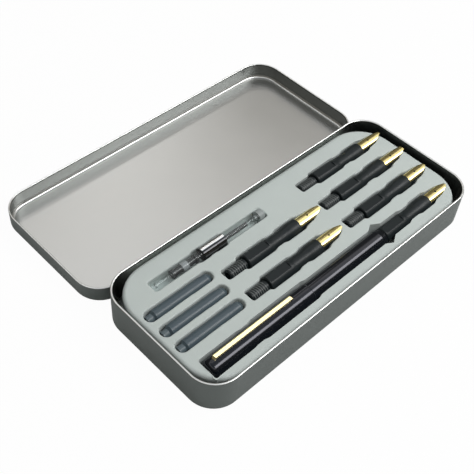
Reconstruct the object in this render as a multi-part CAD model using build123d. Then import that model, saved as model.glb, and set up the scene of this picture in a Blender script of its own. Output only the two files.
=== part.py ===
from build123d import *
import os

# Calligraphy set box: a hinged sheet-metal tin, lying open, with a formed tray. The tray holds a
# fountain pen with its cap on the rear, five spare nib units, a screw converter and three short
# ink cartridges. Millimetres. The origin is on the underside of the base, at its middle. +X runs
# along the box towards the nibs, +Y towards the hinge and the open lid, +Z up.

# --- tin: one gauge of sheet, drawn into two pans with rolled rims ---
tin_sheet = 0.35
base_height = 20.0
tin_corner = 14.2
base_inner_edge = 0.65        # inside radius where the floor turns up into the wall
base_hem_slot = 0.5           # air inside the rolled rim
lid_inner_edge = 1.65
lid_hem_slot = 0.2
hem_turn_down = 0.35          # straight end of each rolled rim, below the roll
lid_running_gap = 0.3         # closed: from the base wall to the lid's rolled rim
lid_front_play = 0.5          # room for the front of the lid to swing past the base's rim
lid_seat_gap = 0.35           # closed: from the base's rim to the lid's panel

# --- hinges: a leaf through the base's back wall, and two curls of the lid, on a wire pin ---
hinge_spread = 110.0          # between the two hinges
pin_radius = 0.6
pin_clearance = 0.05
leaf_width = 6.0
curl_width = 4.0              # each of the lid's two curls
curl_gap = 0.1                # between neighbours along the pin
lid_rim_below_axis = 0.15
lid_notch_depth = 1.45        # from the hinge axis down to the bottom of the lid's notch
lid_notch_side_gap = 0.3
leaf_slit_drop = 1.75         # from the hinge axis down to the slit that the leaf passes
leaf_inside_length = 5.25     # of the leaf, down the inside of the wall
leaf_slit_clearance = 0.05

# --- tray: one sheet, formed over the items and sprung in under the base's rolled rim ---
tray_sheet = 0.6
tray_drop = 3.4               # from the base's rim down to the tray's top
tray_corner = 20.4
tray_inner_edge = 1.4
tray_side_gap = 0.5
tray_end_gap = 2.55
tray_foot_gap = 0.05
notch_half_length = 13.0      # of the finger notch, along the box
notch_half_width = 7.7
pocket_lip = 0.8              # rounded edge of every pocket
pocket_fillet = 1.2           # in plan, where a pocket changes width
pocket_ramp = 2.4             # along the box, where a pocket changes width
pinch_length = 4.2            # where a pocket grips its item at the sides
rest_gap = 0.3                # from an item down to its pocket's floor
side_gap = 0.25               # from an item to its pocket's walls, at the narrowest
nose_gap = 0.4                # from a nib or feed to its pocket's walls
row_pitch = 16.0              # from the pen to the first row of nib units, and between the rows
pen_side_margin = 12.15       # from the tray's front side to the pen's axis
unit_side_margin = 14.75      # from the last row of nib units to the tray's hinge side
converter_side_margin = 13.75 # from the converter's axis to the tray's hinge side
pen_rear_margin = 6.3         # from the tray's end to the cap
pen_tip_margin = 4.8          # from the pen's nib to the tray's other end
cartridge_end_margin = 3.0    # from the tray's end to the cartridges' pockets
cartridge_to_unit = 3.6       # from the cartridges' pockets to the left column of nib units
column_gap = 5.2              # between the two columns' pockets
unit_end_margin = 3.2         # from the right column's pockets to the tray's end

# --- nib unit: section, feed and nib; x runs from the tail to the tip ---
unit_axis_drop = 2.2          # from the tray's top down to the axis
tail_length = 10.6
tail_radius = 3.0
tail_end_radius = 2.8         # the tail narrows a little to its open end
tail_chamfer = 0.5
groove_length = 0.7
groove_radius = 2.6
grip_radius = 4.2
grip_chamfer = 0.4
grip_length = 15.0
waist_radius = 3.8
waist_length = 5.5
waist_fall = 4.0              # from the grip down to the waist
flare_rise = 8.5              # from the waist up to the flare
flare_radius = 4.6
section_length = 36.2         # from the tail to the mouth
mouth_round = 0.4
grip_flat_depth = 0.5         # how far each of the three finger flats cuts in
nib_sheet = 0.25
nib_radius = 3.75             # outer face of the nib's curve
nib_half_width = 2.9
nib_shoulder = 9.0            # from the mouth to where the nib starts to narrow
nib_in_mouth = 6.0
nib_slit = 0.16
nib_vent_radius = 0.6
nib_fit = 0.05
feed_in_mouth = 6.5
feed_reach = 11.5             # from the mouth to the end of the feed
feed_straight = 3.0
feed_tip_half_width = 1.2
feed_tip_thickness = 0.9
fin_count = 6
fin_slot = 0.45
fin_pitch = 1.15
fin_depth = 1.6
ink_bore_radius = 1.9

unit_room = 2.2               # how far a unit can slide along its pocket
tail_room = 0.15              # of its pocket, beyond the side gap
grip_room = 0.3
shoulder_lead = 0.2           # the pocket starts to widen this far before the grip
shoulder_ramp = 1.4
grip_overrun = 3.6            # the pocket's wide part runs this far past the grip
mouth_room = 1.3              # and this far past the mouth
unit_nose_room = 1.7          # and this far past the feed
unit_row_count = 3
# name: column, row, slide along the pocket, nib reach, tip half width
nib_units = {
    "a": (0, 1, 2.2, 16.0, 1.1),
    "b": (0, 0, 0.6, 16.2, 0.8),
    "c": (1, 2, 0.7, 16.6, 0.6),
    "d": (1, 1, 0.7, 17.0, 1.3),
    "e": (1, 0, 1.0, 15.2, 0.9),
}

# --- pen: the cap is on the rear of the barrel ---
pen_axis_drop = 3.0           # from the tray's top down to the axis
pen_nib_reach = 15.5
pen_tip_half_width = 0.7
pen_end_gap = 0.5             # from the cap to its pocket's end
pen_nose_room = 2.5           # of the pocket, past the feed
pen_nose_side_room = 0.2
cap_room = 0.35               # of its pocket, beyond the side gap
cap_pinch = 24.6              # from the cap's rear to where the pocket grips it
barrel_room = 0.4
barrel_overrun = 0.5          # the cap's part of the pocket runs this far past the cap's mouth
pen_grip_room = 0.45
pen_mouth_room = 0.8
cap_over_barrel = 20.9        # how far the cap is pushed over the barrel's rear
cap_length = 63.3
cap_radius = 5.3
cap_end_wall = 1.5
cap_end_round = 2.2
cap_mouth_round = 0.4
cap_fit = 0.05
barrel_radius = 4.85
barrel_front_radius = 4.45
barrel_front_taper = 3.0
barrel_length = 74.0
barrel_end_wall = 3.0
barrel_end_round = 2.0
liner_length = 21.0
liner_wall = 0.7
liner_end_gap = 0.1
clip_sheet = 0.45
clip_width = 2.4
clip_length = 48.3
clip_rear_inset = 3.9         # from the cap's end to the clip's root
clip_height = 1.05            # from the cap's surface to the clip's outer face
clip_bend = 0.9
clip_tilt = 12.0              # degrees, the pen lies turned a little towards the back
clip_slot_clearance = 0.05
clip_flange = 0.8             # depth of the folded sides, from the outer face
clip_foot_length = 7.0        # of the rounded foot at the end of each side
clip_foot_rise = 0.6          # where the foot meets the end, above the cap
clip_foot_gap = 0.1           # from the feet to the cap

# --- converter: clear reservoir, bright collar, clear knob, screw rod with its piston ---
converter_axis_drop = 1.0     # from the tray's top down to the axis
converter_end_margin = 17.6   # from the tray's end to the reservoir's mouth
converter_pitch = 11.8        # from the last cartridge's axis to the converter's
converter_room = 1.0          # of the pocket, before the reservoir's mouth
plug_room = 0.6
tube_room = 0.05              # of the pocket, beyond the side gap
bulge_room = 0.3
bulge_lead = 2.8              # the first bulge starts this far before the collar
bulge_ramp = 1.6
bulge_overrun = 1.0           # and the second ends this far past it
collar_pinch = 3.6            # from the collar's start to where the pocket grips it
collar_pinch_length = 2.4
reservoir_radius = 3.1
reservoir_wall = 0.7
reservoir_length = 33.0
reservoir_shown = 29.5
reservoir_mouth_radius = 1.3
reservoir_mouth_wall = 2.0
collar_radius = 3.55
collar_length = 14.3
collar_step = 0.15            # the knob's half of the collar is this much smaller
collar_front = 8.5
collar_seam = 0.35
knob_radius = 3.0
knob_length = 22.7
knob_neck_length = 3.8
knob_neck_radius = 2.65
knob_bore = 1.35
knob_fit = 0.05
knob_end_gap = 0.1
plug_length = 4.0
plug_round = 1.2
plug_stem_length = 1.5
rod_radius = 1.1
rod_length = 33.0
rod_fit = 0.05
piston_rear_x = -45.5
piston_length = 15.5
piston_fit = 0.07
piston_lip = 1.4
piston_core_radius = 1.8
piston_band = 3.5

# --- ink cartridges: short standard size ---
cartridge_pitch = 10.6
cartridge_axis_drop = 2.6     # from the tray's top down to the axis
cartridge_length = 38.2
cartridge_radius = 3.1
cartridge_wall = 0.5
neck_length = 3.2
neck_shoulder = 1.0
neck_radius = 2.2
neck_bore = 1.4
ball_fit = 0.05
step_ring_inset = 5.0
step_ring_depth = 0.2
cartridge_count = 3
cartridge_room = 0.8          # at each end of the pocket
cartridge_pinch_length = 9.0  # where the pocket is slightly narrower, at the middle
cartridge_pinch_gap = 0.15    # there, from the cartridge to the wall
cartridge_ramp = 2.0

# --- worked out from the above ---
mouth = tail_length + section_length              # x of the mouth in a unit's own frame
unit_pocket_length = mouth + feed_reach + unit_room + unit_nose_room
cartridge_pocket_length = cartridge_length + 2 * cartridge_room
pen_length = cap_length - cap_over_barrel + barrel_length + section_length + pen_nib_reach
pen_row_length = pen_rear_margin + pen_length + pen_tip_margin
unit_row_length = cartridge_end_margin + cartridge_pocket_length + cartridge_to_unit
unit_row_length += 2 * unit_pocket_length + column_gap + unit_end_margin
unit_rows_width = row_pitch * unit_row_count + unit_side_margin
cartridges_width = row_pitch + cartridge_pitch * (cartridge_count - 1) + converter_pitch + converter_side_margin
tray_length = max(pen_row_length, unit_row_length)
tray_width = pen_side_margin + max(unit_rows_width, cartridges_width)
tray_top = base_height - tray_drop
tray_foot = tin_sheet + tray_foot_gap
base_length = tray_length + 2 * (tin_sheet + tray_end_gap)
base_width = tray_width + 2 * (tin_sheet + tray_side_gap)

base_hem = 2 * tin_sheet + base_hem_slot
lid_hem = 2 * tin_sheet + lid_hem_slot
lid_offset = lid_hem + lid_running_gap            # closed: from the base's outer face to the lid's
lid_length = base_length + 2 * lid_offset
lid_width = base_width + 2 * lid_offset + lid_front_play
hinge_y = base_width / 2 + lid_offset
hinge_z = (base_height + lid_seat_gap + tin_sheet) / 2
lid_depth = hinge_z - lid_rim_below_axis
lid_middle_y = hinge_y + lid_width / 2
wall_inner_y = base_width / 2 - tin_sheet
knuckle_bore = pin_radius + pin_clearance
knuckle_radius = knuckle_bore + tin_sheet
knuckle_row = leaf_width + 2 * (curl_gap + curl_width)
slit_z = hinge_z - leaf_slit_drop

waist_start = grip_length + waist_fall            # from the grip's start
flare_start = waist_start + waist_length + flare_rise
mouth_bore = nib_radius + nib_fit
feed_radius = nib_radius - nib_sheet - nib_fit
right_column = tray_length / 2 - unit_end_margin - unit_pocket_length
left_column = right_column - column_gap - unit_pocket_length
unit_axis_z = tray_top - unit_axis_drop

pen_axis_y = pen_side_margin - tray_width / 2
pen_axis_z = tray_top - pen_axis_drop
cap_rear_x = pen_rear_margin - tray_length / 2
cap_mouth_x = cap_rear_x + cap_length
cap_bore = barrel_radius + cap_fit
barrel_front_x = cap_mouth_x - cap_over_barrel + barrel_length
pen_unit_x = barrel_front_x - tail_length
pen_mouth_x = pen_unit_x + mouth                  # where the nib leaves the section

cartridge_axis_z = tray_top - cartridge_axis_drop
cartridge_neck_x = cartridge_end_margin + cartridge_room - tray_length / 2
last_cartridge_y = pen_axis_y + row_pitch + cartridge_pitch * (cartridge_count - 1)
converter_y = last_cartridge_y + converter_pitch
converter_axis_z = tray_top - converter_axis_drop
converter_mouth_x = converter_end_margin - tray_length / 2
collar_x = converter_mouth_x + reservoir_shown
collar_end_x = collar_x + collar_length
knob_x = collar_end_x + knob_end_gap
plug_x = knob_x + knob_length
plug_end_x = plug_x + plug_length
reservoir_bore = reservoir_radius - reservoir_wall
piston_radius = reservoir_bore - piston_fit


def quarter_arc(start, end, centre):
    """A quarter of a circle between two points, about its centre."""
    middle = tuple(c + (a + b - 2 * c) * 0.5 ** 0.5 for a, b, c in zip(start, end, centre))
    return ThreePointArc(start, middle, end)


def s_curve(start, end):
    """Two equal arcs that lead from one level to another, level at both ends."""
    middle = tuple((a + b) / 2 for a, b in zip(start, end))
    return [TangentArc(start, middle, tangent=(1, 0)), TangentArc(end, middle, tangent=(-1, 0))]


def turned(*edges):
    """A solid of revolution about X, from a closed outline of (x, radius) edges."""
    return revolve(make_face(list(edges)), Axis.X)


def lathe(*points):
    """A solid of revolution about X, from the corners of its outline on one side of the axis."""
    return revolve(make_face(Polyline(*points, close=True)), Axis.X)


def rod_along_x(start, end, radius):
    """A plain round bar on the X axis."""
    return lathe((start, 0), (start, radius), (end, radius), (end, 0))


def slab(x_range, y_range, z_range):
    """A box given by its two faces along each axis."""
    middle = [(low + high) / 2 for low, high in (x_range, y_range, z_range)]
    size = [high - low for low, high in (x_range, y_range, z_range)]
    return Pos(*middle) * Box(*size)


def rectangle_between(x_range, y_range):
    """A flat rectangle given by its two sides along each axis."""
    middle = [(low + high) / 2 for low, high in (x_range, y_range)]
    return Pos(*middle) * Rectangle(x_range[1] - x_range[0], y_range[1] - y_range[0])


# ---------------------------------------------------------------- tin


def wall_section(depth, inner_edge, hem):
    """The pan's wall in section: x inward from its outer face, y up from its underside."""
    edge = inner_edge + tin_sheet
    roll = hem / 2
    roll_z = depth - roll
    end_z = roll_z - hem_turn_down
    outline = [
        quarter_arc((edge, 0), (0, edge), (edge, edge)),
        Line((0, edge), (0, roll_z)),
        ThreePointArc((0, roll_z), (roll, depth), (hem, roll_z)),
        Line((hem, roll_z), (hem, end_z)),
        Line((hem, end_z), (hem - tin_sheet, end_z)),
        Line((hem - tin_sheet, end_z), (hem - tin_sheet, roll_z)),
        ThreePointArc((hem - tin_sheet, roll_z), (roll, depth - tin_sheet), (tin_sheet, roll_z)),
        Line((tin_sheet, roll_z), (tin_sheet, edge)),
        quarter_arc((tin_sheet, edge), (edge, tin_sheet), (edge, edge)),
        Line((edge, tin_sheet), (edge, 0)),
    ]
    return make_face(outline)


def drawn_pan(length, width, depth, inner_edge, hem):
    """A pan drawn from one sheet: flat panel, rounded edge, straight wall and rolled rim."""
    edge = inner_edge + tin_sheet
    path = RectangleRounded(length, width, tin_corner).wire()
    along = path % 0
    section_plane = Plane(origin=path @ 0, x_dir=Vector(0, 0, 1).cross(along), z_dir=along)
    wall = sweep(section_plane * wall_section(depth, inner_edge, hem), path=path)
    panel = extrude(RectangleRounded(length - 2 * edge, width - 2 * edge, tin_corner - edge), tin_sheet)
    return wall + panel


def hinge_xs():
    return (-hinge_spread / 2, hinge_spread / 2)


def base_tin():
    """The base pan, with a slit in its back wall for each hinge leaf."""
    pan = drawn_pan(base_length, base_width, base_height, base_inner_edge, base_hem)
    for x in hinge_xs():
        half = leaf_width / 2 + leaf_slit_clearance
        heights = (slit_z - tin_sheet / 2 - leaf_slit_clearance, slit_z + tin_sheet / 2 + leaf_slit_clearance)
        pan -= slab((x - half, x + half), (wall_inner_y - 1, base_width / 2 + 1), heights)
    return pan


def knuckle():
    """The rolled ring of a hinge in section, about the hinge axis."""
    return Circle(knuckle_radius) - Circle(knuckle_bore)


def lid_tin():
    """The lid pan, lying open behind the base, its rim notched and curled at the two hinges."""
    pan = Pos(0, lid_middle_y) * drawn_pan(lid_length, lid_width, lid_depth, lid_inner_edge, lid_hem)
    foot_z = -lid_notch_depth
    lean = make_face(
        Polyline(
            (0, foot_z),
            (tin_sheet, foot_z),
            (knuckle_radius, 0),
            (knuckle_radius - tin_sheet, 0),
            close=True,
        )
    )
    curl = extrude(Plane.YZ * (knuckle() + lean - Circle(knuckle_bore)), curl_width)
    for x in hinge_xs():
        half = knuckle_row / 2 + lid_notch_side_gap
        pan -= slab(
            (x - half, x + half),
            (hinge_y - 1, hinge_y + lid_hem + 0.1),
            (hinge_z - lid_notch_depth, lid_depth + 1),
        )
        for start in (-knuckle_row / 2, leaf_width / 2 + curl_gap):
            pan += Pos(x + start, hinge_y, hinge_z) * curl
    return pan


def hinge_leaf(x):
    """A stamped strip: a knuckle outside, through the slit, and down the inside of the wall."""
    outer = -knuckle_radius
    inside = wall_inner_y - hinge_y
    low = -leaf_slit_drop - tin_sheet / 2
    high = -leaf_slit_drop + tin_sheet / 2
    strip = knuckle()
    strip += rectangle_between((outer, outer + tin_sheet), (low, 0))
    strip += rectangle_between((inside - tin_sheet, outer + tin_sheet), (low, high))
    strip += rectangle_between((inside - tin_sheet, inside), (high - leaf_inside_length, high))
    return Pos(x - leaf_width / 2, hinge_y, hinge_z) * extrude(Plane.YZ * strip, leaf_width)


def hinge_pin(x):
    return Pos(x, hinge_y, hinge_z) * rod_along_x(-knuckle_row / 2, knuckle_row / 2, pin_radius)


# ---------------------------------------------------------------- nib unit


def unit_section():
    """The grip: a round tail, a groove, three finger flats, a waist and a flared mouth."""
    grip = tail_length + groove_length
    waist = tail_length + waist_start
    flare = tail_length + flare_start
    seat = mouth - feed_in_mouth
    curves = s_curve((tail_length + grip_length, grip_radius), (waist, waist_radius))
    curves.append(Line((waist, waist_radius), (waist + waist_length, waist_radius)))
    curves += s_curve((waist + waist_length, waist_radius), (flare, flare_radius))
    rest = [
        (flare, flare_radius),
        (mouth - mouth_round, flare_radius),
        (mouth, flare_radius - mouth_round),
        (mouth, mouth_bore),
        (seat, mouth_bore),
        (seat, ink_bore_radius),
        (0, ink_bore_radius),
        (0, tail_end_radius - tail_chamfer),
        (tail_chamfer, tail_end_radius),
        (tail_length, tail_radius),
        (tail_length, groove_radius),
        (grip, groove_radius),
        (grip, grip_radius - grip_chamfer),
        (grip + grip_chamfer, grip_radius),
        (tail_length + grip_length, grip_radius),
    ]
    body = turned(*curves, Polyline(*rest))
    flat = slab(
        (grip + 2 * grip_chamfer, tail_length + grip_length),
        (-grip_radius, grip_radius),
        (grip_radius - grip_flat_depth, 2 * grip_radius),
    )
    for turn in (0, 120, 240):
        body -= Rot(turn, 0, 0) * flat
    return body


def unit_feed():
    """The ink feed: a bar under the nib, narrowing to the tip, with comb fins underneath."""
    end = mouth + feed_reach
    bar = rod_along_x(mouth - feed_in_mouth, end, feed_radius)
    plan = [(mouth - feed_in_mouth, feed_radius), (mouth + feed_straight, feed_radius), (end, feed_tip_half_width)]
    plan += [(x, -y) for x, y in reversed(plan)]
    side = [
        (mouth - feed_in_mouth, feed_radius),
        (end, feed_radius),
        (end, feed_radius - feed_tip_thickness),
        (mouth + feed_straight, -feed_radius),
        (mouth - feed_in_mouth, -feed_radius),
    ]
    bar &= extrude(make_face(Polyline(*plan, close=True)), feed_radius, both=True)
    bar &= extrude(Plane.XZ * make_face(Polyline(*side, close=True)), feed_radius, both=True)
    slope = (2 * feed_radius - feed_tip_thickness) / (feed_reach - feed_straight)
    for index in range(fin_count):
        x = mouth + fin_pitch * (index + 0.6)
        underside = -feed_radius + slope * max(0, x - mouth - feed_straight)
        bar -= slab((x, x + fin_slot), (-feed_radius, feed_radius), (-feed_radius - 1, underside + fin_depth))
    return bar


def unit_nib(reach, tip_half_width):
    """A curved sheet, cut to the nib's plan, with its slit and breather hole."""
    start = mouth - nib_in_mouth
    tip = mouth + reach
    curve = rod_along_x(start, tip, nib_radius) - rod_along_x(start, tip, nib_radius - nib_sheet)
    shoulder = mouth + nib_shoulder
    sides = [
        Line((start, -nib_half_width), (start, nib_half_width)),
        Line((start, nib_half_width), (shoulder, nib_half_width)),
        Spline((shoulder, nib_half_width), (tip, tip_half_width), tangents=((1, 0), (1, -0.35))),
        Line((tip, tip_half_width), (tip, -tip_half_width)),
        Spline((tip, -tip_half_width), (shoulder, -nib_half_width), tangents=((-1, -0.35), (-1, 0))),
        Line((shoulder, -nib_half_width), (start, -nib_half_width)),
    ]
    nib = curve & extrude(make_face(sides), nib_radius)
    nib -= slab((shoulder - 2, tip + 1), (-nib_slit / 2, nib_slit / 2), (0, 2 * nib_radius))
    nib -= Pos(shoulder - 2, 0, nib_radius) * Cylinder(nib_vent_radius, 2)
    return nib


def column_x(column):
    return (left_column, right_column)[column]


def row_y(row):
    return pen_axis_y + row_pitch * (row + 1)


def unit_place(column, row, slide):
    return Pos(column_x(column) + slide, row_y(row), unit_axis_z)


# ---------------------------------------------------------------- pen


def pen_place():
    return Pos(0, pen_axis_y, pen_axis_z)


def pen_barrel():
    """A tube with a closed, rounded rear end and a slight taper to the section."""
    front = barrel_front_x
    rear = front - barrel_length
    bore = tail_radius + nib_fit
    outside = [
        (front, bore),
        (front, barrel_front_radius),
        (front - barrel_front_taper, barrel_radius),
        (rear + barrel_end_round, barrel_radius),
    ]
    shoulder = barrel_radius - barrel_end_round
    dome = quarter_arc(
        (rear + barrel_end_round, barrel_radius), (rear, shoulder), (rear + barrel_end_round, shoulder)
    )
    inside = [
        (rear, shoulder),
        (rear, 0),
        (rear + barrel_end_wall, 0),
        (rear + barrel_end_wall, bore),
        (front, bore),
    ]
    return pen_place() * turned(Polyline(*outside), dome, Polyline(*inside))


def pen_cap():
    """A tube with a rounded closed end, and a slot for the clip's root."""
    rear = cap_rear_x
    end_radius = cap_radius - cap_end_round
    dome = quarter_arc((rear, end_radius), (rear + cap_end_round, cap_radius), (rear + cap_end_round, end_radius))
    rest = [
        (rear + cap_end_round, cap_radius),
        (cap_mouth_x - cap_mouth_round, cap_radius),
        (cap_mouth_x, cap_radius - cap_mouth_round / 2),
        (cap_mouth_x, cap_bore),
        (rear + cap_end_wall, cap_bore),
        (rear + cap_end_wall, 0),
        (rear, 0),
        (rear, end_radius),
    ]
    root = rear + clip_rear_inset
    slot = slab(
        (root - clip_slot_clearance, root + clip_sheet + clip_slot_clearance),
        (-clip_width / 2 - clip_slot_clearance, clip_width / 2 + clip_slot_clearance),
        (0, 2 * cap_radius),
    )
    return pen_place() * (turned(dome, Polyline(*rest)) - Rot(-clip_tilt, 0, 0) * slot)


def pen_cap_liner():
    """The inner cap that closes on the section's mouth when the pen is put away."""
    start = cap_rear_x + cap_end_wall + liner_end_gap
    outer = cap_bore - cap_fit
    cup = lathe(
        (start, 0),
        (start, outer),
        (start + liner_length, outer),
        (start + liner_length, outer - liner_wall),
        (start + liner_wall, outer - liner_wall),
        (start + liner_wall, 0),
    )
    return pen_place() * cup


def pen_clip():
    """A folded channel: its root in the cap's slot, a straight run, and a rounded foot on each side."""
    root = cap_rear_x + clip_rear_inset
    end = root + clip_length
    outer = cap_radius + clip_height
    inner = outer - clip_sheet
    low = outer - clip_flange
    foot_z = cap_radius + clip_foot_gap
    bend = clip_bend / 2
    side = [
        Polyline((root, cap_bore), (root, outer - clip_bend), (root + clip_bend, outer), (end, outer)),
        Polyline((end, outer), (end, foot_z + clip_foot_rise)),
        ThreePointArc(
            (end, foot_z + clip_foot_rise), (end - clip_foot_length / 2, foot_z), (end - clip_foot_length, low)
        ),
        Polyline(
            (end - clip_foot_length, low),
            (root + clip_sheet + bend, low),
            (root + clip_sheet, low - bend),
            (root + clip_sheet, cap_bore),
            (root, cap_bore),
        ),
    ]
    clip = extrude(Plane.XZ * make_face(side), clip_width / 2, both=True)
    hollow = clip_width / 2 - clip_sheet
    clip -= slab((root + clip_sheet, end - clip_sheet), (-hollow, hollow), (0, inner))
    return pen_place() * (Rot(-clip_tilt, 0, 0) * clip)


# ---------------------------------------------------------------- converter


def converter_place():
    return Pos(0, converter_y, converter_axis_z)


def converter_reservoir():
    """A clear tube with a narrower mouth, which a section's spike enters."""
    start = converter_mouth_x
    end = start + reservoir_length
    tube = lathe(
        (start, reservoir_mouth_radius),
        (start, reservoir_radius - reservoir_wall),
        (start + reservoir_wall, reservoir_radius),
        (end, reservoir_radius),
        (end, reservoir_bore),
        (start + reservoir_mouth_wall, reservoir_bore),
        (start + reservoir_mouth_wall, reservoir_mouth_radius),
    )
    return converter_place() * tube


def converter_collar():
    """A bright sleeve in two diameters, with the screw nut inside."""
    seam = collar_x + collar_front
    small = collar_radius - collar_step
    seat_end = converter_mouth_x + reservoir_length + knob_fit
    neck_start = collar_end_x - knob_neck_length - knob_end_gap
    sleeve = lathe(
        (collar_x, reservoir_radius + knob_fit),
        (collar_x, collar_radius),
        (seam, collar_radius),
        (seam, small - collar_step),
        (seam + collar_seam, small - collar_step),
        (seam + collar_seam, small),
        (collar_end_x, small),
        (collar_end_x, knob_neck_radius + knob_fit),
        (neck_start, knob_neck_radius + knob_fit),
        (neck_start, rod_radius + rod_fit),
        (seat_end, rod_radius + rod_fit),
        (seat_end, reservoir_radius + knob_fit),
    )
    return converter_place() * sleeve


def converter_knob():
    """The clear knob: a neck that turns in the collar, and a bore for the screw rod."""
    knob = lathe(
        (knob_x - knob_neck_length, knob_bore),
        (knob_x - knob_neck_length, knob_neck_radius),
        (knob_x, knob_neck_radius),
        (knob_x, knob_radius),
        (plug_x, knob_radius),
        (plug_x, knob_bore),
    )
    return converter_place() * knob


def converter_end_plug():
    """The grey plug that closes the knob."""
    stem = knob_bore - knob_fit
    start, face = plug_end_x - plug_round, knob_radius - plug_round
    rounded = quarter_arc((start, knob_radius), (plug_end_x, face), (start, face))
    rest = [
        (plug_end_x, face),
        (plug_end_x, 0),
        (plug_x - plug_stem_length, 0),
        (plug_x - plug_stem_length, stem),
        (plug_x, stem),
        (plug_x, knob_radius),
        (start, knob_radius),
    ]
    return converter_place() * turned(rounded, Polyline(*rest))


def converter_rod():
    """The screw rod: it draws the piston along when the knob turns."""
    return converter_place() * rod_along_x(piston_rear_x, piston_rear_x + rod_length, rod_radius)


def converter_piston():
    """The piston: two sealing lips on a core, and a band between them."""
    start = piston_rear_x - piston_length
    band = start + piston_length / 2 - piston_band / 2
    piston = lathe(
        (start, 0),
        (start, piston_radius),
        (start + piston_lip, piston_radius),
        (start + piston_lip, piston_core_radius),
        (band, piston_core_radius),
        (band, piston_radius),
        (band + piston_band, piston_radius),
        (band + piston_band, piston_core_radius),
        (piston_rear_x - piston_lip, piston_core_radius),
        (piston_rear_x - piston_lip, piston_radius),
        (piston_rear_x, piston_radius),
        (piston_rear_x, 0),
    )
    return converter_place() * piston


# ---------------------------------------------------------------- cartridges


def cartridge_ys():
    return [last_cartridge_y - index * cartridge_pitch for index in range(cartridge_count)]


def cartridge_shell():
    """A blown plastic bottle: neck, straight body, a step near the end and a domed base."""
    end = cartridge_length
    body = neck_length + neck_shoulder
    step = end - step_ring_inset
    small = cartridge_radius - step_ring_depth
    inner = small - cartridge_wall
    outside = [
        (0, neck_bore),
        (0, neck_radius),
        (neck_length, neck_radius),
        (body, cartridge_radius),
        (step, cartridge_radius),
        (step, small),
        (end - small, small),
    ]
    centre = (end - small, 0)
    dome = quarter_arc((end - small, small), (end, 0), centre)
    hollow_dome = quarter_arc((end - cartridge_wall, 0), (end - small, inner), centre)
    inside = [(end - small, inner), (body, inner), (neck_length, neck_bore), (0, neck_bore)]
    return turned(
        Polyline(*outside), dome, Line((end, 0), (end - cartridge_wall, 0)), hollow_dome, Polyline(*inside)
    )


def cartridge_place(y):
    return Pos(cartridge_neck_x, y, cartridge_axis_z)


def cartridge_ball():
    """The ball that seals the neck until a spike pushes it in."""
    radius = neck_bore - ball_fit
    return Pos(radius, 0, 0) * Sphere(radius)


# ---------------------------------------------------------------- tray


def pocket_outline(axis_y, stations, grow, end_round):
    """A pocket in plan, even about its axis, from (x, half width) stations."""
    back = [(x, half + grow) for x, half in stations]
    back[0] = (back[0][0] - grow, back[0][1])
    back[-1] = (back[-1][0] + grow, back[-1][1])
    front = [(x, -half) for x, half in reversed(back)]
    rounds = [end_round] + [pocket_fillet] * (len(back) - 2) + [end_round]
    outline = FilletPolyline(*back, *front, radius=rounds + rounds, close=True)
    return Pos(0, axis_y) * make_face(outline)


def unit_stations(column):
    """A nib unit's pocket: it clears the unit wherever the unit has slid to."""
    start = column_x(column)
    tail = tail_radius + side_gap + tail_room
    grip = grip_radius + side_gap + grip_room
    waist = waist_radius + side_gap
    flare = flare_radius + side_gap
    shoulder = start + tail_length - shoulder_lead
    grip_end = start + tail_length + grip_length + grip_overrun
    pinch = grip_end + pocket_ramp
    mouth_end = start + mouth + unit_room
    return [
        (start, tail),
        (shoulder, tail),
        (shoulder + shoulder_ramp, grip),
        (grip_end, grip),
        (pinch, waist),
        (pinch + pinch_length, waist),
        (pinch + pinch_length + pocket_ramp, flare),
        (mouth_end + mouth_room, flare),
        (mouth_end + mouth_room + pocket_ramp, feed_radius + nose_gap),
        (mouth_end + nib_shoulder, nib_half_width + nose_gap),
        (start + unit_pocket_length, feed_tip_half_width + nose_gap),
    ]


def pen_stations():
    """The pen's pocket, with one pinch on the cap and one at the section's waist."""
    cap = cap_radius + side_gap
    cap_front = cap + cap_room + grip_room
    barrel = barrel_radius + side_gap + barrel_room
    grip = grip_radius + side_gap + pen_grip_room
    waist = waist_radius + side_gap
    flare = flare_radius + side_gap
    pinch = cap_rear_x + cap_pinch
    barrel_x = cap_mouth_x + barrel_overrun
    waist_x = barrel_front_x + waist_start
    flare_x = waist_x + waist_length + pocket_ramp
    nose_x = pen_mouth_x + pen_mouth_room
    nib_x = pen_mouth_x + nib_shoulder
    end_x = pen_mouth_x + feed_reach + pen_nose_room
    return [
        (cap_rear_x - pen_end_gap, cap + cap_room),
        (pinch - pocket_ramp, cap + cap_room),
        (pinch, cap),
        (pinch + pinch_length, cap),
        (pinch + pinch_length + pocket_ramp, cap_front),
        (barrel_x, cap_front),
        (barrel_x + pocket_ramp, barrel),
        (barrel_front_x - pocket_ramp / 2, barrel),
        (barrel_front_x + pocket_ramp / 2, grip),
        (waist_x - pocket_ramp, grip),
        (waist_x, waist),
        (waist_x + waist_length, waist),
        (flare_x, flare),
        (nose_x, flare),
        (nose_x + pocket_ramp, feed_radius + nose_gap),
        (nib_x, nib_half_width + nose_gap),
        (end_x, feed_tip_half_width + nose_gap + pen_nose_side_room),
    ]


def converter_stations():
    """The converter's pocket: two bulges over the collar's ends, a pinch between them."""
    tube = reservoir_radius + side_gap + tube_room
    pinch = collar_radius + side_gap
    bulge = pinch + bulge_room
    bulge_x = collar_x - bulge_lead
    pinch_x = collar_x + collar_pinch
    pinch_end_x = pinch_x + collar_pinch_length
    tube_x = collar_end_x + bulge_overrun
    return [
        (converter_mouth_x - converter_room, tube),
        (bulge_x - bulge_ramp, tube),
        (bulge_x, bulge),
        (pinch_x - bulge_ramp, bulge),
        (pinch_x, pinch),
        (pinch_end_x, pinch),
        (pinch_end_x + bulge_ramp, bulge),
        (tube_x - bulge_ramp, bulge),
        (tube_x, tube),
        (plug_end_x + plug_room, tube),
    ]


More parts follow.
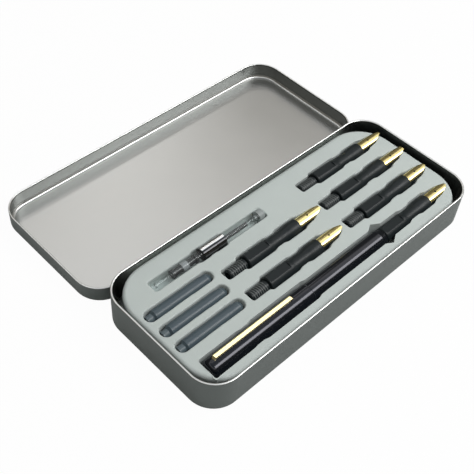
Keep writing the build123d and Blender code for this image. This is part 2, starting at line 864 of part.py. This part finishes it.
def cartridge_stations():
    """A cartridge's pocket: round ends and a slight pinch at the middle."""
    wide = cartridge_radius + side_gap
    pinch = cartridge_radius + cartridge_pinch_gap
    start = cartridge_neck_x - cartridge_room
    middle = start + cartridge_pocket_length / 2
    half = cartridge_pinch_length / 2
    return [
        (start, wide),
        (middle - half - cartridge_ramp, wide),
        (middle - half, pinch),
        (middle + half, pinch),
        (middle + half + cartridge_ramp, wide),
        (start + cartridge_pocket_length, wide),
    ]


def tray_pockets(grow):
    """Every pocket in plan, with its floor's height: (outline, floor)."""
    pockets = []
    for column, row, slide, reach, tip_half_width in nib_units.values():
        outline = pocket_outline(row_y(row), unit_stations(column), grow, pocket_fillet)
        pockets.append((outline, unit_axis_z - flare_radius - rest_gap))
    for y in cartridge_ys():
        outline = pocket_outline(y, cartridge_stations(), grow, cartridge_radius + grow)
        pockets.append((outline, cartridge_axis_z - cartridge_radius - rest_gap))
    outline = pocket_outline(converter_y, converter_stations(), grow, pocket_fillet)
    pockets.append((outline, converter_axis_z - collar_radius - rest_gap))
    outline = pocket_outline(pen_axis_y, pen_stations(), grow, pocket_fillet)
    notch = Pos(barrel_front_x, pen_axis_y) * finger_notch(grow)
    pockets.append((outline + notch, pen_axis_z - cap_radius - rest_gap))
    return pockets


def finger_notch(grow):
    """A diamond across the pen's pocket, for a finger and thumb to lift the pen."""
    along, across = notch_half_length + grow, notch_half_width + grow
    return make_face(Polyline((along, 0), (0, across), (-along, 0), (0, -across), close=True))


def formed_block(inset, inner_round):
    """The tray's outer form, or the hollow under it when inset by the sheet."""
    block = extrude(
        RectangleRounded(tray_length - 2 * inset, tray_width - 2 * inset, tray_corner - inset),
        tray_top - inset - tray_foot,
    )
    block = fillet(block.faces().sort_by(Axis.Z)[-1].edges(), inner_round)
    return Pos(0, 0, tray_foot) * block


def formed_tray():
    """One formed sheet: a rounded plate with a skirt, and a tub for every pocket."""
    tray = formed_block(0, tray_inner_edge + tray_sheet) - formed_block(tray_sheet, tray_inner_edge)
    for outline, floor in tray_pockets(tray_sheet):
        tray += Pos(0, 0, floor - tray_sheet) * extrude(outline, tray_top - floor + tray_sheet / 2)
    for outline, floor in tray_pockets(0):
        tray -= Pos(0, 0, floor) * extrude(outline, tray_top)
    top = tray.faces().sort_by(Axis.Z)[-1]
    return fillet([edge for wire in top.inner_wires() for edge in wire.edges()], pocket_lip)


parts = {
    "base_tin": base_tin(),
    "lid_tin": lid_tin(),
    "tray": formed_tray(),
    "pen_barrel": pen_barrel(),
    "pen_cap": pen_cap(),
    "pen_cap_liner": pen_cap_liner(),
    "pen_clip": pen_clip(),
    "converter_reservoir": converter_reservoir(),
    "converter_collar": converter_collar(),
    "converter_knob": converter_knob(),
    "converter_end_plug": converter_end_plug(),
    "converter_rod": converter_rod(),
    "converter_piston": converter_piston(),
}
for side, x in zip(("left", "right"), hinge_xs()):
    parts["hinge_leaf_" + side] = hinge_leaf(x)
    parts["hinge_pin_" + side] = hinge_pin(x)

section, feed = unit_section(), unit_feed()
pen_unit = Pos(pen_unit_x, pen_axis_y, pen_axis_z)
parts["pen_section"] = pen_unit * section
parts["pen_feed"] = pen_unit * feed
parts["pen_nib"] = pen_unit * unit_nib(pen_nib_reach, pen_tip_half_width)
for name, (column, row, slide, reach, tip_half_width) in nib_units.items():
    place = unit_place(column, row, slide)
    parts["nib_unit_" + name + "_section"] = place * section
    parts["nib_unit_" + name + "_feed"] = place * feed
    parts["nib_unit_" + name + "_nib"] = place * unit_nib(reach, tip_half_width)

shell, ball = cartridge_shell(), cartridge_ball()
for number, y in enumerate(cartridge_ys(), start=1):
    parts[f"cartridge_{number}"] = cartridge_place(y) * shell
    parts[f"cartridge_ball_{number}"] = cartridge_place(y) * ball

os.makedirs("parts", exist_ok=True)
for name, solid in parts.items():
    solid.label = name
    export_step(solid, f"parts/{name}.step")
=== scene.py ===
from math import cos, pi, radians, sin

import bpy
from mathutils import Matrix, Vector


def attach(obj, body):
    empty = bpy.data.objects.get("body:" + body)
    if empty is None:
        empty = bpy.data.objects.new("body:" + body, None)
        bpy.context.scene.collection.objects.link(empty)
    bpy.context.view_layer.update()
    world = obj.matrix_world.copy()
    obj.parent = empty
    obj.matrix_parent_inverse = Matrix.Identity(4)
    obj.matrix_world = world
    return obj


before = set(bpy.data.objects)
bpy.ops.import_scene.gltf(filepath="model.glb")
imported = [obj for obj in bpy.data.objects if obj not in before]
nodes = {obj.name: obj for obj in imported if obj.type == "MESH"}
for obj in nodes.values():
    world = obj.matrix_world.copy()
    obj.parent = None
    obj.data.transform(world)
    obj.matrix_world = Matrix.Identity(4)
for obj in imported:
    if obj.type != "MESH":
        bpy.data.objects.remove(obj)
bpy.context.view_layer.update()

scene = bpy.context.scene
scene.view_settings.view_transform = "Standard"
mm = 0.001


# ---------------------------------------------------------------- camera
# The photograph was taken from the front left, looking down at about 49 degrees. The place, the
# three angles and the lens follow from the outlines of the two tins.
camera_place = (-0.217037, -0.156967, 0.316120)
camera_turn = radians(-47.7192)       # 0 looks along +Y
camera_height = radians(48.713)       # above the horizon
camera_roll = radians(5.0373)
camera_lens = 62.6435

back = Vector((sin(camera_turn) * cos(camera_height), -cos(camera_turn) * cos(camera_height),
               sin(camera_height)))
level = Vector((0, 0, 1)).cross(back).normalized()
upright = back.cross(level)
right = level * cos(camera_roll) + upright * sin(camera_roll)
up = upright * cos(camera_roll) - level * sin(camera_roll)
camera = bpy.data.objects.new("camera", bpy.data.cameras.new("camera"))
camera.matrix_world = Matrix.Translation(camera_place) @ Matrix((right, up, back)).transposed().to_4x4()
camera.data.lens = camera_lens
camera.data.clip_start = 10 * mm
scene.collection.objects.link(camera)
scene.camera = camera


# ---------------------------------------------------------------- floor
# A pale seamless sheet of paper. The camera sees it almost white, and the box's shadow on it stays
# faint. Its material, like every later one, is written with the three classes below.
class Value:
    """A number or colour that varies over a surface: the output socket of a shader node."""

    def __init__(self, shading, socket):
        self.shading = shading
        self.socket = socket

    def maths(self, operation, *terms):
        return self.shading.node("ShaderNodeMath", {"operation": operation}, dict(enumerate(terms)))

    def __add__(self, other):
        return self.maths("ADD", self, other)

    __radd__ = __add__

    def __sub__(self, other):
        return self.maths("SUBTRACT", self, other)

    def __rsub__(self, other):
        return self.maths("SUBTRACT", other, self)

    def __mul__(self, other):
        return self.maths("MULTIPLY", self, other)

    __rmul__ = __mul__

    def __truediv__(self, other):
        return self.maths("DIVIDE", self, other)

    def absolute(self):
        return self.maths("ABSOLUTE", self)

    def root(self):
        return self.maths("SQRT", self)

    def sine(self):
        return self.maths("SINE", self)

    def greatest(self, other):
        return self.maths("MAXIMUM", self, other)

    def least(self, other):
        return self.maths("MINIMUM", self, other)

    def clamped(self):
        return self.shading.node("ShaderNodeClamp", {}, {0: self})

    def past(self, start, blur):
        """A mask that is 0 up to the start and rises to 1 over the blur."""
        return ((self - start) / blur).clamped()

    def short_of(self, end, blur):
        """A mask that falls from 1 to 0 over the blur before the end."""
        return ((end - self) / blur).clamped()


class Shading:
    """The nodes of a material, or of the world."""

    def __init__(self, tree):
        self.tree = tree

    def node(self, kind, settings=None, sockets=None, output=0):
        """Any shader node: its settings first, then the values or links of its sockets."""
        made = self.tree.nodes.new(kind)
        for name, value in (settings or {}).items():
            if name == "stops":
                self.set_stops(made.color_ramp, value)
            else:
                setattr(made, name, value)
        for key, value in (sockets or {}).items():
            self.plug(made.inputs[key], value)
        return Value(self, made.outputs[output])

    def set_stops(self, ramp, stops):
        while len(ramp.elements) < len(stops):
            ramp.elements.new(1.0)
        for element, (position, shade) in zip(ramp.elements, stops):
            element.position = position
            element.color = (shade, shade, shade, 1.0) if isinstance(shade, float) else (*shade, 1.0)

    def plug(self, socket, value):
        if isinstance(value, Value):
            self.tree.links.new(value.socket, socket)
        elif socket.type == "RGBA":
            socket.default_value = (*value, 1.0)
        else:
            socket.default_value = value

    def ramp(self, value, *stops):
        return self.node("ShaderNodeValToRGB", {"stops": stops}, {0: value})


class Finish(Shading):
    """A material: its constants go straight on the shader, and what varies is fed as a Value."""

    def __init__(self, name, **constants):
        self.material = bpy.data.materials.new(name)
        self.material.use_nodes = True
        super().__init__(self.material.node_tree)
        self.shader = self.tree.nodes["Principled BSDF"]
        self.plain = Value(self, self.shader.outputs[0])
        for key, value in constants.items():
            self.feed(key.replace("_", " ").title().replace("Ior", "IOR"), value)

    def feed(self, socket, value):
        self.plug(self.shader.inputs[socket], value)

    def show(self, share, first, second):
        """The surface becomes a mix of two shaders, with this share of the second."""
        mixed = self.node("ShaderNodeMixShader", {}, {0: share, 1: first, 2: second})
        self.plug(self.tree.nodes["Material Output"].inputs["Surface"], mixed)

    def place(self):
        """The surface's own coordinates, in metres."""
        return self.node("ShaderNodeTexCoord", output="Object")

    def axes(self):
        """The surface's own x, y and z, in metres."""
        place = self.place()
        return [self.node("ShaderNodeSeparateXYZ", {}, {0: place}, output=axis) for axis in "XYZ"]

    def noise(self, scale, detail=2.0):
        """Cloudy variation from 0 to 1, with features about 1 / scale metres across."""
        sockets = {"Vector": self.place(), "Scale": scale, "Detail": detail}
        return self.node("ShaderNodeTexNoise", {}, sockets)

    def polish(self, least, spread, scale, detail=2.0):
        """Roughness that varies a little from place to place."""
        self.feed("Roughness", least + spread * self.noise(scale, detail))

    def blend(self, share, first, second):
        """A mix of two colours, with this share of the second."""
        sockets = {0: share, 6: first, 7: second}
        return self.node("ShaderNodeMix", {"data_type": "RGBA"}, sockets, output=2)

    def bump(self, height, distance):
        """Relief: a height of 1 stands for this distance, in metres."""
        self.feed("Normal", self.node("ShaderNodeBump", {}, {"Height": height, "Distance": distance}))

    def cover(self, *items):
        for item in items:
            item.data.materials.clear()
            item.data.materials.append(self.material)


floor_reach = 3.0
floor_drop = 0.02 * mm                # clear of the underside of the tins
floor_corners = [(x * floor_reach, y * floor_reach, 0) for x, y in ((-1, -1), (1, -1), (1, 1), (-1, 1))]
floor_mesh = bpy.data.meshes.new("floor")
floor_mesh.from_pydata(floor_corners, [], [(0, 1, 2, 3)])
floor = bpy.data.objects.new("floor", floor_mesh)
floor.location.z = -floor_drop
scene.collection.objects.link(floor)

paper = Finish("floor_paper", base_color=(0.82, 0.82, 0.82), roughness=0.9)
seen = paper.node("ShaderNodeLightPath", output="Is Camera Ray")
mirrored = paper.node("ShaderNodeLightPath", output="Is Glossy Ray")
through = paper.node("ShaderNodeLightPath", output="Is Transmission Ray")
white = paper.node("ShaderNodeEmission", {}, {"Color": (1, 1, 1), "Strength": 1.0})
paper.show(0.97 * seen + 0.1 * mirrored + 0.8 * through, paper.plain, white)
paper.cover(floor)


# ---------------------------------------------------------------- light
# The room is one large diffuser overhead that falls off towards the horizon. A softbox at the front
# right lights the box, and a weak one stands far behind it.
sky_levels = ((0.0, (0.16, 0.16, 0.15)), (0.56, (0.14, 0.128, 0.105)), (0.68, (0.27, 0.247, 0.205)),
              (0.78, (1.5, 1.47, 1.44)), (0.82, (1.45, 1.45, 1.45)), (0.87, (0.55, 0.58, 0.6)),
              (1.0, (0.38, 0.41, 0.43)))         # by the sine of the height above the horizon
world = bpy.data.worlds.new("studio")
scene.world = world
world.use_nodes = True
sky = Shading(world.node_tree)
direction = sky.node("ShaderNodeTexCoord", output="Generated")
rise = sky.node("ShaderNodeSeparateXYZ", {}, {0: direction}, output="Z")
sky.plug(sky.tree.nodes["Background"].inputs["Color"], sky.ramp(rise, *sky_levels))


def softbox(name, place, target, size, watts):
    """A diffused lamp, with its long side level along X."""
    lamp = bpy.data.lights.new(name, "AREA")
    lamp.shape = "RECTANGLE"
    lamp.size, lamp.size_y = size
    lamp.energy = watts
    away = (Vector(place) - Vector(target)).normalized()
    across = away.cross((1, 0, 0)).normalized()
    turn = Matrix((across.cross(away), across, away)).transposed().to_4x4()
    item = bpy.data.objects.new(name, lamp)
    item.matrix_world = Matrix.Translation(place) @ turn
    scene.collection.objects.link(item)


softbox("softbox_front", (0.33, -0.32, 0.56), target=(-0.02, -0.02, 0), size=(0.55, 0.25), watts=2.7)
softbox("softbox_back", (0.84, 1.305, 1.21), target=(-0.05, -0.025, 0.02), size=(0.5, 0.16), watts=0.7)


# ---------------------------------------------------------------- tins
# The base and the lid are pans drawn from tinplate. The inside is bare and slightly grained. The
# outside is painted a darker, less metallic grey, as painted shade for the dark room its walls
# mirror. Each rolled rim carries a painted highlight, and the lid's inner walls, the base's end
# walls and a band under each rim carry painted shade.
tin_corner = 14.2 * mm
lid_wall_y = 39.5 * mm                # the curls of the hinges reach past the lid's wall
lid_rim_z = 10.2 * mm


def box(node):
    """The lowest and the highest x, y and z of a CAD node, in metres."""
    corners = [tuple(corner) for corner in nodes[node].bound_box]
    return [min(axis) for axis in zip(*corners)], [max(axis) for axis in zip(*corners)]


def middle(node):
    return [(low + high) / 2 for low, high in zip(*box(node))]


def inside_outline(x, y, low, high):
    """How far a point is inside a pan's outer outline, in metres."""
    beyond = [(axis - (a + b) / 2).absolute() - ((b - a) / 2 - tin_corner)
              for axis, a, b in ((x, low[0], high[0]), (y, low[1], high[1]))]
    legs = [distance.greatest(0.0) for distance in beyond]
    to_arc = (legs[0] * legs[0] + legs[1] * legs[1]).root()
    return tin_corner - (to_arc + beyond[0].greatest(beyond[1]).least(0.0))


for name, wall_y, rim_z in (("base_tin", box("base_tin")[0][1], box("base_tin")[1][2]),
                            ("lid_tin", lid_wall_y, lid_rim_z)):
    low, high = box(name)
    low[1] = wall_y
    tin = Finish("tinplate_" + name.replace("_tin", ""))
    x, y, z = tin.axes()
    inward = inside_outline(x, y, low, high)
    outside = inward.short_of(0.22 * mm, 0.1 * mm).greatest(z.short_of(0.1 * mm, 0.05 * mm))
    # Painted highlight: the top 0.3 mm of each rim is painted near white.
    rim_painted_highlight = z.past(rim_z - 0.3 * mm, 0.2 * mm)
    side_wall = z.past(1.6 * mm, 0.6 * mm)
    # Painted shadow: a band of the inner wall just under the rim is painted near black.
    shadow_under_roll = side_wall * z.past(rim_z - 1.1 * mm, 0.2 * mm)
    grain = tin.noise(5200, 3.0)
    cloud = tin.noise(38)
    panel = tin.blend(cloud, (0.60, 0.605, 0.595), (0.66, 0.66, 0.645))
    # Painted shade: the outside is painted a darker grey than the bare inside.
    outside_painted_shade = tin.blend(cloud, (0.12, 0.14, 0.134), (0.145, 0.165, 0.158))
    # Painted shade: the lid's inner walls and the base's end walls are painted dark grey; the base's
    # long walls keep the bare tin's colour.
    wall_painted_shade = (0.19, 0.20, 0.195)
    if name == "base_tin":            # its end walls look much darker than its long ones
        wall_painted_shade = tin.blend(x.absolute().past(74 * mm, 8 * mm), (0.62, 0.64, 0.62), (0.12, 0.125, 0.12))
    inside_with_painted_shade = tin.blend(shadow_under_roll, tin.blend(side_wall, panel, wall_painted_shade), (0.05, 0.055, 0.05))
    tin.feed("Base Color", tin.blend(rim_painted_highlight, tin.blend(outside, inside_with_painted_shade, outside_painted_shade), (0.92, 0.93, 0.92)))
    tin.feed("Metallic", 1.0 - 0.5 * outside)
    tin.feed("Roughness", 0.28 + 0.05 * cloud + 0.05 * grain + 0.12 * outside)
    tin.bump(grain, 0.01 * mm)
    tin.cover(nodes[name])


# ---------------------------------------------------------------- hinges
# Two plain steel leaves, each a stamped strip that hooks through a slit in the base's back wall and
# rolls round its wire pin.
hinge_steel = Finish("hinge_steel", base_color=(0.5, 0.5, 0.49), roughness=0.35, metallic=1.0)
hinge_steel.bump(hinge_steel.noise(3000), 0.01 * mm)
hinge_steel.cover(*(item for name, item in nodes.items() if name.startswith("hinge_")))


# ---------------------------------------------------------------- tray
# One sheet of grey plastic, formed under vacuum with a pocket for each item. Its flocked face is
# speckled and has no shine.
flock = Finish("flocked_tray", roughness=0.85, sheen_weight=0.15, sheen_roughness=0.6)
speck = flock.noise(4200, 4.0)
patch = flock.noise(55)
flock_shade = 0.65 * speck + 0.35 * patch
flock.feed("Base Color", flock.blend(flock_shade, (0.49, 0.545, 0.53), (0.62, 0.675, 0.655)))
flock.bump(speck, 0.06 * mm)
flock.cover(nodes["tray"])


# ---------------------------------------------------------------- nib units
# Five spare units, each a satin black moulded section with a finned feed and a gold-plated nib. The
# pen has a sixth. A spare unit shows the coarse thread on its tail, a ridge round the shank, moulded
# in the same black but painted grey as a painted highlight on its crests.
satin = Finish("satin_black", base_color=(0.008, 0.013, 0.015), specular_ior_level=0.34)
satin.polish(0.36, 0.1, 900, 3.0)
satin.bump(satin.noise(5000), 0.006 * mm)
gold = Finish("gold_plate", base_color=(0.90, 0.77, 0.36), metallic=1.0)
gold.polish(0.13, 0.06, 800, 3.0)
gold.bump(gold.noise(300), 0.01 * mm)
for name, item in nodes.items():
    if name.endswith(("_section", "_feed")):
        satin.cover(item)
    elif name.endswith("_nib"):
        gold.cover(item)

thread_start = 0.8 * mm               # from the end of the tail
thread_length = 9.4 * mm
thread_turns = 7
shank_radii = (2.81 * mm, 2.99 * mm)  # under the thread's two ends
ridge_height = 0.24 * mm
ridge_sunk = 0.06 * mm                # its feet, into the shank
ridge_half_width = 0.21 * thread_length / thread_turns
ridge_half_crest = ridge_half_width / 4
ridge_fades = 3 * thread_turns        # in a third of a turn at each end
steps_per_turn = 32
steps = thread_turns * steps_per_turn
# Painted highlight: the ridge is painted grey, though it is the same black plastic as the section.
ridge_painted_highlight = Finish("thread_black", base_color=(0.17, 0.185, 0.185))
ridge_painted_highlight.polish(0.32, 0.1, 900, 3.0)


def tail_thread(letter):
    """The ridge on one unit's tail: a helix along X, with four points to a step."""
    section = "nib_unit_" + letter + "_section"
    tail_end = box(section)[0][0]
    row_y, row_z = middle(section)[1:]
    points, faces = [], []
    for step in range(steps + 1):
        along = step / steps
        angle = 2 * pi * step / steps_per_turn
        travel = along * (thread_length - 2 * ridge_half_width)
        x = tail_end + thread_start + ridge_half_width + travel
        shank = shank_radii[0] + along * (shank_radii[1] - shank_radii[0])
        foot = shank - ridge_sunk
        crest = shank + ridge_height * min(1.0, ridge_fades * along, ridge_fades * (1 - along))
        for shift, radius in ((-ridge_half_width, foot), (-ridge_half_crest, crest),
                              (ridge_half_crest, crest), (ridge_half_width, foot)):
            points.append((x + shift, row_y + radius * cos(angle), row_z + radius * sin(angle)))
    for step in range(steps):
        for side in range(4):
            a, b = 4 * step + side, 4 * step + (side + 1) % 4
            faces.append((a, b, b + 4, a + 4))
    faces += [(3, 2, 1, 0), tuple(4 * steps + side for side in range(4))]
    mesh = bpy.data.meshes.new("tail_thread_" + letter)
    mesh.from_pydata(points, [], faces)
    mesh.update()
    mesh.polygons.foreach_set("use_smooth", [True] * len(faces))
    mesh.set_sharp_from_angle(angle=radians(35))
    piece = bpy.data.objects.new("tail_thread_" + letter, mesh)
    scene.collection.objects.link(piece)
    return piece


for letter in "abcde":
    piece = tail_thread(letter)
    ridge_painted_highlight.cover(piece)
    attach(piece, "nib_unit_" + letter)


# ---------------------------------------------------------------- pen
# The barrel and the cap are moulded in black and polished, and a liner of natural plastic inside
# the cap seals the nib.
gloss = Finish("polished_black", base_color=(0.003, 0.005, 0.008), specular_tint=(0.92, 0.92, 1.0))
gloss.polish(0.12, 0.05, 500, 3.0)
gloss.cover(nodes["pen_barrel"], nodes["pen_cap"])
liner = Finish("natural_plastic", base_color=(0.7, 0.7, 0.68))
liner.polish(0.35, 0.1, 900)
liner.cover(nodes["pen_cap_liner"])

# The clip is a gold-plated channel, turned a little round the cap. Its long back edge turns away
# from the light and is painted dark olive as painted shade, and the cut edge of its front flange is
# painted pale and matt as a painted highlight, a thin bright line.
clip_up = (0.208, 0.978)              # the way it faces, in y and z
pen_y, pen_z = middle("pen_cap")[1:]
clip = Finish("clip_plate")
x, y, z = clip.axes()
sideways = clip_up[1] * (y - pen_y) - clip_up[0] * (z - pen_z)
outward = clip_up[0] * (y - pen_y) + clip_up[1] * (z - pen_z)
# Painted shade: the clip's back part is painted dark olive.
far_bend_painted_shade = sideways.past(0.7 * mm, 0.2 * mm)
# Painted highlight: the front flange's lower edge is painted pale and non-metallic, a thin bright line.
cut_edge_painted_highlight = sideways.short_of(-1.15 * mm, 0.04 * mm) * outward.short_of(5.8 * mm, 0.1 * mm)
plate = clip.blend(far_bend_painted_shade, (0.90, 0.79, 0.44), (0.11, 0.10, 0.05))
clip.feed("Base Color", clip.blend(cut_edge_painted_highlight, plate, (0.62, 0.56, 0.38)))
clip.feed("Metallic", 1.0 - cut_edge_painted_highlight)
clip.feed("Roughness", 0.13 + 0.06 * clip.noise(800, 3.0) + 0.3 * cut_edge_painted_highlight)
clip.cover(nodes["pen_clip"])


# ---------------------------------------------------------------- converter
# A clear reservoir and knob on a chromed collar, with a screw rod and a piston inside. The thin
# clear walls show as faint outlines and long reflections, so they mix bare air with a gloss.
clear = Finish("clear_plastic", base_color=(0.80, 0.82, 0.83), roughness=0.1, metallic=0.5)
edge = clear.node("ShaderNodeLayerWeight", {}, {"Blend": 0.35}, output="Facing")
air = clear.node("ShaderNodeBsdfTransparent", {}, {"Color": (0.97, 0.98, 0.98)})
clear.show(0.02 + 0.22 * edge * edge, air, clear.plain)
clear.cover(nodes["converter_reservoir"], nodes["converter_knob"])

# The collar's colour is a painted reflection: near black at the front for its dark pocket, and near
# white from the middle to the back for the room.
collar_radius = 2.8 * mm
chrome = Finish("chromed_collar", metallic=1.0)
side = (chrome.axes()[1] - middle("converter_collar")[1]) / collar_radius     # 1 back, -1 front
# Painted reflection, banded by the side of the collar.
painted_reflection = chrome.ramp(0.5 + 0.5 * side, (0.0, 0.12), (0.18, 0.02),
                     (0.34, 0.03), (0.40, 0.95), (0.72, 0.95), (0.82, 0.5), (1.0, 0.3))
chrome.feed("Base Color", chrome.blend(painted_reflection, (0.02, 0.02, 0.022), (0.85, 0.86, 0.87)))
chrome.polish(0.05, 0.06, 900)
chrome.cover(nodes["converter_collar"])

grey_plug = Finish("grey_plug", base_color=(0.30, 0.33, 0.33))
grey_plug.polish(0.35, 0.1, 900)
grey_plug.cover(nodes["converter_end_plug"])

# The piston has a lighter block between its dark rings.
block_start, block_end = 5.9 * mm, 9.6 * mm     # from its end in the ink
piston = Finish("piston_rings")
from_end = piston.axes()[0] - box("converter_piston")[0][0]
light_block = from_end.past(block_start, 0.1 * mm) * from_end.short_of(block_end, 0.1 * mm)
piston.feed("Base Color", piston.blend(light_block, (0.03, 0.033, 0.035), (0.3, 0.32, 0.33)))
piston.polish(0.3, 0.1, 900)
piston.cover(nodes["converter_piston"])

# The rod shows its thread from just past the collar. It is a groove in the finish, because the nut
# in the collar fits the rod closely. Its crests are painted grey and its grooves black, as painted
# highlight and painted shade on the one black rod.
rod_pitch = 1.04 * mm
plain_end = 1.4 * mm                  # past the collar
rod = Finish("screw_rod")
along_rod = rod.axes()[0]
wave = 0.5 + 0.5 * (along_rod * (2 * pi / rod_pitch)).sine()
# Painted highlight: the crests are painted grey, and the same mask raises them by bump.
thread_bump_and_painted_highlight = wave * along_rod.past(box("converter_collar")[1][0] + plain_end, 0.4 * mm)
rod.feed("Base Color", rod.blend(thread_bump_and_painted_highlight, (0.018, 0.02, 0.022), (0.16, 0.17, 0.17)))
rod.polish(0.42, 0.1, 900)
rod.bump(thread_bump_and_painted_highlight, 0.12 * mm)
rod.cover(nodes["converter_rod"])


# ---------------------------------------------------------------- cartridges
# Three short bottles of thin clear plastic, full of dark ink. A ball closes the neck of each, and a
# paler ring runs round it near the far end.
neck_length = 3.2 * mm
ring_inset = 2.5 * mm
ring_half_width = 0.2 * mm
low, high = box("cartridge_1")        # the three lie side by side
ink = Finish("ink_bottle")
along_bottle = ink.axes()[0]
neck = along_bottle.short_of(low[0] + neck_length, 0.6 * mm)
ring = (along_bottle - (high[0] - ring_inset)).absolute().short_of(ring_half_width, ring_half_width)
filled = ink.blend(ink.noise(120), (0.054, 0.080, 0.100), (0.074, 0.104, 0.120))
ink.feed("Base Color", ink.blend(ring.greatest(0.35 * neck), filled, (0.15, 0.185, 0.20)))
ink.polish(0.34, 0.05, 600)
ball = Finish("seal_ball", base_color=(0.5, 0.52, 0.54))
ball.polish(0.25, 0.1, 900)
for number in (1, 2, 3):
    ink.cover(nodes[f"cartridge_{number}"])
    ball.cover(nodes[f"cartridge_ball_{number}"])
